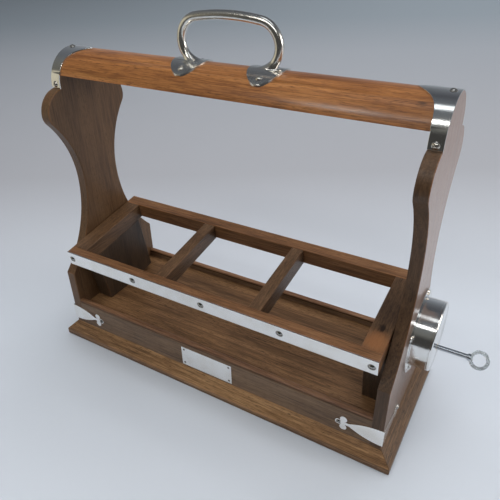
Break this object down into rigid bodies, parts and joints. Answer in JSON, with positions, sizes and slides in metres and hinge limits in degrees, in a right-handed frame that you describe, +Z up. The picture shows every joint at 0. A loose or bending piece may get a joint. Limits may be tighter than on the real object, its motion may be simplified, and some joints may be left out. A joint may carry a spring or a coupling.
{
  "type": "tantalus",
  "caption": "Oak decanter stand with a tilting bottle frame between shaped end panels, a top bar with a loop handle, silver-plated mounts, a tray and a drum lock with its key.",
  "frame": {"origin": "centre of the plinth's underside", "axes": "+X along the stand towards the lock, +Y from the front with the plaque to the back, +Z up"},
  "size_m": [0.4101, 0.138, 0.3292],
  "materials": {
    "plinth_oak": "waxed, grain along the stand",
    "plinth_end_oak": "waxed, grain from front to back",
    "base_oak": "plain",
    "apron_oak": "waxed, grain along the stand",
    "nosing_oak": "waxed",
    "floor_oak": "waxed, grain along the stand",
    "panel_oak": "waxed, upright grain",
    "bar_oak": "polished, grain along the bar",
    "rail_oak": "polished, grain along the rail",
    "cross_oak": "polished, grain from front to back",
    "cheek_oak": "waxed, upright grain",
    "band_silver": "silver plate, polished",
    "handle_silver": "silver plate, polished",
    "strap_silver": "silver plate, worn",
    "plaque_silver": "silver plate, worn, left bare",
    "strip_silver": "silver plate, worn",
    "lock_silver": "silver plate, polished",
    "screw_silver": "silver plate, worn",
    "pin_steel": "turned",
    "lock_brass": "plain",
    "key_steel": "polished"
  },
  "bodies": {
    "stand": {"plinth_front": "plinth_oak", "plinth_back": "plinth_oak", "plinth_left": "plinth_end_oak", "plinth_right": "plinth_end_oak", "base_board": "base_oak", "front_apron": "apron_oak", "back_apron": "apron_oak", "front_nosing": "nosing_oak", "back_nosing": "nosing_oak", "tray_floor": "floor_oak", "left_panel": "panel_oak", "right_panel": "panel_oak", "top_bar": "bar_oak", "left_band": "band_silver", "right_band": "band_silver", "band_screws": "screw_silver", "handle": "handle_silver", "left_foot": "handle_silver", "right_foot": "handle_silver", "handle_screws": "screw_silver", "left_strap": "strap_silver", "right_strap": "strap_silver", "strap_screws": "screw_silver", "plaque": "plaque_silver", "plaque_pins": "screw_silver", "left_pivot": "pin_steel", "right_pivot": "pin_steel", "lock_flange": "lock_silver", "lock_drum": "lock_silver", "lock_screws": "screw_silver", "upper_guide": "lock_brass", "lower_guide": "lock_brass"},
    "frame": {"front_rail": "rail_oak", "rear_rail": "rail_oak", "left_end_rail": "cross_oak", "right_end_rail": "cross_oak", "left_divider": "cross_oak", "right_divider": "cross_oak", "left_cheek": "cheek_oak", "right_cheek": "cheek_oak", "front_strip": "strip_silver", "strip_screws": "screw_silver", "lock_stud": "pin_steel"},
    "bolt": {"lock_bolt": "lock_brass"},
    "arbor": {"lock_arbor": "lock_brass"},
    "key": {"key_shaft": "key_steel", "key_bow": "key_steel"}
  },
  "joints": [
    {"name": "frame_tilt", "type": "hinge", "parent": "stand", "child": "frame", "pos_m": [0, 0, 0.0445], "axis": [-1, 0, 0], "range_deg": [0, 9.25]},
    {"name": "key_turn", "type": "hinge", "parent": "stand", "child": "arbor", "pos_m": [0.18, 0.005, 0.0834], "axis": [-1, 0, 0], "range_deg": [0, 90]},
    {"name": "bolt_throw", "type": "slide", "parent": "stand", "child": "bolt", "axis": [0, 0, 1], "range_m": [0, 0.00481]},
    {"name": "key_out", "type": "slide", "parent": "arbor", "child": "key", "axis": [1, 0, 0], "range_m": [0, 0.03]}
  ],
  "couplings": [
    {"joint": "bolt_throw", "follows": "key_turn", "m_per_rad": 0.003061}
  ]
}
